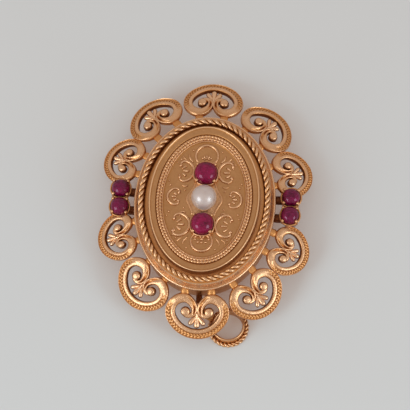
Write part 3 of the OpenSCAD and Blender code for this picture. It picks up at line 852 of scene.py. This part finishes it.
def plaque():
    """The raised plaque: its plate, two twisted wires and a plain one in its border, the C
    scrolls, petals, strokes and grains on its ground, the fan of petals at its top, the three
    grains at its lower end, and the boss under the pearl."""
    rows = np.array(PLATE)
    plate = Work().add(oval_loft(rows[:, :3]), deep=rows[:, 3, None])
    plate.make("plaque_plate", SATIN, "plaque_gold", "plaque")
    border = Work()
    for half_w, half_h, lumps, slant in BORDER_WIRES:
        points, out = even_oval(half_w, half_h, lumps * 8)
        grid, deep = coiled(points + BORDER_WIRE_Z * UP, out, BORDER_WIRE_R, lumps, slant)
        border.add(grid, closed=True, deep=deep)
    points, out = even_oval(*PLAIN_WIRE, 240)
    turn = np.linspace(0, 2 * np.pi, 10, endpoint=False)[None, :, None]
    ring = np.cos(turn) * out[:, None] + np.sin(turn) * UP
    border.add(points[:, None] + PLAIN_WIRE_Z * UP + PLAIN_WIRE_R * ring, closed=True)
    border.make("plaque_border_wires", GOLD, "plaque_gold", "plaque")
    relief = Work()

    def lay(grid):
        """Adds a raised thing, with painted shade at its foot and a painted highlight on its crest.
        """
        relief.add(grid, deep=shade(grid[..., 2], GROUND_Z + 0.17, -0.3))

    for x, y, radius, opens, sweep, tight, size in PLAQUE_SCROLLS:
        line = c_scroll(x, y, radius, opens, sweep, tight)
        lay(wire(line, size * BACK_SWELL, 10, steps=90))
        for end in (line[2], line[-3]):
            lay(bead(end, 1.2 * size))
        for off, start, end, thin, thick in (PETALS if opens in (0, 180) else ()):
            a = math.radians(opens + 180 + off)
            root = np.array([x + 0.42 * radius * math.cos(math.radians(opens)), y])
            away = radius * np.array([math.cos(a), math.sin(a)])
            line = [[*(root + start * away), GROUND_Z + 0.03],
                    [*(root + end * away), GROUND_Z + 0.07]]
            lay(wire(line, [thin, thick], 10, steps=8))
    for stroke in STROKES:
        fine = smooth_line(stroke, 16)
        for line in quarters(fine):
            grid = np.stack([line[:, 0], line[:, 1], 0 * line[:, 0] + GROUND_Z + 0.05], 1)
            lay(wire(grid, line[:, 2], 10, steps=14))
    for grain in GRAINS:
        for line in quarters(grain):
            lay(bead((line[0, 0], line[0, 1], GROUND_Z + 0.06), line[0, 2]))
    for turn in (-56, -28, 0, 28, 56):
        a = math.radians(turn)
        root = np.array([-0.1, 7.35, GROUND_Z + 0.05])
        tip = root + [1.1 * math.sin(a), 1.1 * math.cos(a), 0]
        lay(wire([root + 0.3 * (tip - root), tip], [0.12, 0.22], 10, steps=8))
    for x in (-0.62, 0.08, 0.78):
        lay(bead((x, -8.0, GROUND_Z + 0.06), 0.24))
    relief.make("plaque_scrollwork", GOLD, "plaque_gold", "plaque")
    side = smooth_line(BOSS, 26)
    rim = np.concatenate([side, (side * [-1, 1])[::-1]])
    boss = np.stack([np.concatenate([rim * share, np.full((len(rim), 1), GROUND_Z + lift)], 1)
                     for share, lift in BOSS_RISE])
    Work().add(boss).make("pearl_boss", GOLD, "plaque_gold", "plaque")


def plaque_settings():
    """The cups and claws of the two rubies on the plaque, and the collar that the pearl sits in."""
    for side, name in ((1, "upper"), (-1, "lower")):
        centre = (0, side * RUBY_PITCH, 0)
        profile = cup(RUBY_R, GROUND_Z - 0.3, RUBY_SEAT_Z)
        work = Work().add(spun(profile, 56, centre, RUBY_SQUARE))
        claws(work, centre, RUBY_R + 0.02, RUBY_SEAT_Z, 0.27)
        work.make("ruby_setting_" + name, GOLD, "plaque_gold", "plaque")
    collar = [[0, GROUND_Z - 0.3], [2.3, GROUND_Z - 0.3], [2.32, GROUND_Z + 0.02],
              [2.2, GROUND_Z + 0.1], [1.9, GROUND_Z + 0.14], [1.8, GROUND_Z + 0.2],
              [1.8, PEARL_SEAT_Z + 0.1], [1.7, PEARL_SEAT_Z + 0.22],
              [1.6, PEARL_SEAT_Z + 0.1], [0, PEARL_SEAT_Z]]
    Work().add(spun(collar, 64)).make("pearl_collar", GOLD, "plaque_gold", "plaque")


def cabochon(radius, girdle, dome):
    """Profile of a cabochon: a flat base, a short girdle and a full dome, where
    (distance / radius) and (height / dome) to the power 2.25 add up to 1."""
    a = np.linspace(0, np.pi / 2, 26)
    power = 2 / 2.25
    top = np.stack([radius * np.cos(a) ** power, girdle + dome * np.sin(a) ** power], 1)
    base = [[0, 0], [0.9 * radius, 0], [0.97 * radius, 0.05], [radius, 0.16]]
    return np.concatenate([base, top])


def stones():
    """Six rubies and the pearl, each in place of its solid."""
    for side, name in ((1, "ruby_upper"), (-1, "ruby_lower")):
        grid = spun(cabochon(RUBY_R, 0.6, 1.7), 72, (0, side * RUBY_PITCH, RUBY_SEAT_Z),
                    RUBY_SQUARE)
        Work().add(grid).make(name + "_cabochon", RUBY, "ruby", name)
    for side, across in ((1, "right"), (-1, "left")):
        for level, y in SIDE_Y.items():
            name = "ruby_" + across + "_" + level
            grid = spun(cabochon(SIDE_R, 0.5, 1.4), 64, (side * SIDE_X, y, SIDE_SEAT_Z),
                        SIDE_SQUARE)
            Work().add(grid).make(name + "_cabochon", SIDE_RUBY, "ruby", name)
    lowest = math.asin((PEARL_SEAT_Z - PEARL_Z) / PEARL_R)
    turn = np.linspace(lowest, np.pi / 2, 60)
    ball = np.stack([PEARL_R * np.cos(turn), PEARL_Z + PEARL_R * np.sin(turn)], 1)
    ball = np.concatenate([[[0, PEARL_SEAT_Z]], ball])
    Work().add(spun(ball, 96)).make("pearl_ball", PEARL, "pearl", "pearl")


def bail():
    """The bail: a plain strip bent to a ring, a twisted wire round its foot, and an arm that
    ends in an eye. It is worked out with the eye at the middle, then turned and placed. Columns
    of the strip: distance from the ring's middle, height, painted shade. The arm and the eye
    carry a little painted shade all over."""
    turn = np.array([[math.cos(BAIL_ANGLE), math.sin(BAIL_ANGLE), 0],
                     [-math.sin(BAIL_ANGLE), math.cos(BAIL_ANGLE), 0], [0, 0, 1]])
    place = np.array([0, -RIVET_REACH, 0])
    inner, outer, top = BAIL_HOLE, BAIL_HOLE + BAIL_WALL, BAIL_H
    strip = np.array([[inner, 0.1, 0.3], [inner + 0.05, 0.02, 0], [inner + 0.12, 0, 0],
                      [outer - 0.1, 0, 0], [outer, 0.1, 0.6], [outer, 0.9, 0.6],
                      [outer, top - 0.2, 0.2], [outer - 0.03, top - 0.08, 0],
                      [outer - 0.12, top - 0.01, 0], [outer - 0.2, top, 0],
                      [inner + 0.12, top - 0.01, 0], [inner + 0.03, top - 0.08, 0],
                      [inner, top - 0.2, 0.15], [inner, 0.9, 0.5]])
    ring = np.swapaxes(spun(strip[:, :2], 120, (0, -ARM, 0)), 0, 1)
    level = top - EYE_THICK / 2
    arm = [[0, -ARM + outer - 0.1, level], [0, -2.4, level], [0, -0.75, level]]
    hoop = Work().add(ring @ turn + place, closed=True, deep=strip[:, 2])
    hoop.add(wire(arm, [0.84, 0.8, 0.84], 20, flat=0.46) @ turn + place, deep=0.4)
    hoop.add(eye(1.2, 64, (0, 0, level)) @ turn + place, closed=True, deep=0.4)
    hoop.make("bail_ring", GOLD, "gold", "bail", body="bail")
    reach = outer + 0.8 * BAIL_ROPE
    points, out = even_oval(reach, reach, BAIL_TURNS * 26)
    cord = Work()
    strands, deep = rope(points + [0, -ARM, BAIL_ROPE], out, 0.92 * BAIL_ROPE, BAIL_TURNS)
    for strand in strands:
        cord.add(strand @ turn + place, closed=True, deep=deep)
    cord.make("bail_rope", GOLD, "gold", "bail", body="bail")


scroll_border()
oval_box()
side_settings()
bail_tongue()
plaque()
plaque_settings()
stones()
bail()

# The rivet and the pin keep the shapes of their solids
for node in ("bail_rivet", "brooch_pin"):
    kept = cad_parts[node]
    kept.data.materials.clear()
    kept.data.materials.append(GOLD)


# The view: the camera's turn, its tilt towards the bail's end and its lean to the right, the
# width of the picture in pixels, and the pixels in a millimetre
VIEW_ANGLES = (4.2, 19, 2.6)
PICTURE = 410
SCALE = 5.6


def studio():
    """A pale matt floor with a faint warm light of its own, two soft boxes, a bright room and the
    camera, which looks at a point close to the pearl. The soft boxes stand where the pearl shows
    them. Lengths are in metres here, apart from those that are multiplied by MM."""
    floor_mesh = bpy.data.meshes.new("floor")
    half = 1.2
    floor_mesh.from_pydata([(-half, -half, 0), (half, -half, 0), (half, half, 0), (-half, half, 0)],
                           [], [(0, 1, 2, 3)])
    floor = bpy.data.objects.new("floor", floor_mesh)
    SCENE.collection.objects.link(floor)
    paper = Finish("pale_floor", Roughness=0.7, Emission_Color=(1.0, 0.56, 0.40, 1),
                   Emission_Strength=0.2)
    cloud = paper.noise(60.0, 2.0)
    paper.feed("Base Color", paper.blend(cloud, (0.37, 0.49, 0.525), (0.39, 0.51, 0.545)))
    floor_mesh.materials.append(paper.material)

    turn, tilt, lean = np.radians(VIEW_ANGLES).tolist()
    right = Vector((math.cos(turn), math.sin(turn), 0))
    upward = Vector((-math.sin(turn), math.cos(turn), 0))
    up = Vector(UP)
    view = (right * math.sin(lean) * math.cos(tilt) - upward * math.cos(lean) * math.sin(tilt)
            + up * math.cos(lean) * math.cos(tilt)).normalized()
    sideways = (right * math.cos(lean) - up * math.sin(lean)).normalized()
    top = view.cross(sideways)
    pearl = Vector((0, 0, PEARL_Z))
    aim = (pearl + sideways * 0.2 - top * 1.375) * MM

    def standing(place, z_axis, x_axis):
        """The matrix of a thing at a place whose own Z and X axes are given."""
        x_axis = (x_axis - z_axis * x_axis.dot(z_axis)).normalized()
        y_axis = z_axis.cross(x_axis)
        matrix = Matrix((x_axis, y_axis, z_axis)).transposed().to_4x4()
        matrix.translation = place
        return matrix

    camera_data = bpy.data.cameras.new("camera")
    distance = 2.0
    camera_data.sensor_width = 36
    camera_data.lens = camera_data.sensor_width * distance / (PICTURE / SCALE * MM)
    camera_data.clip_start = 0.01
    camera = bpy.data.objects.new("camera", camera_data)
    camera.matrix_world = standing(aim + view * distance, view, sideways)
    SCENE.collection.objects.link(camera)
    bpy.context.scene.camera = camera

    for name, (x, y, z), width, height, watts in (
            ("soft_box_left", (-0.706, -0.308, 0.638), 0.19, 0.23, 0.66),
            ("soft_box_right", (0.748, -0.303, 0.588), 0.18, 0.22, 0.54)):
        toward = (sideways * x + top * y + view * z).normalized()
        lamp = bpy.data.lights.new(name, "AREA")
        lamp.shape = "RECTANGLE"
        lamp.size = width
        lamp.size_y = height
        lamp.energy = watts
        lamp.color = (0.84, 0.94, 1.0)
        stand = bpy.data.objects.new(name, lamp)
        stand.matrix_world = standing(pearl * MM + toward * 0.4, toward, sideways)
        SCENE.collection.objects.link(stand)

    world = bpy.data.worlds.new("room")
    SCENE.world = world
    world.use_nodes = True
    sky = world.node_tree.nodes["Background"].inputs
    sky["Color"].default_value = (1.0, 0.88, 0.83, 1)
    sky["Strength"].default_value = 0.68
    SCENE.view_settings.view_transform = "Standard"


studio()
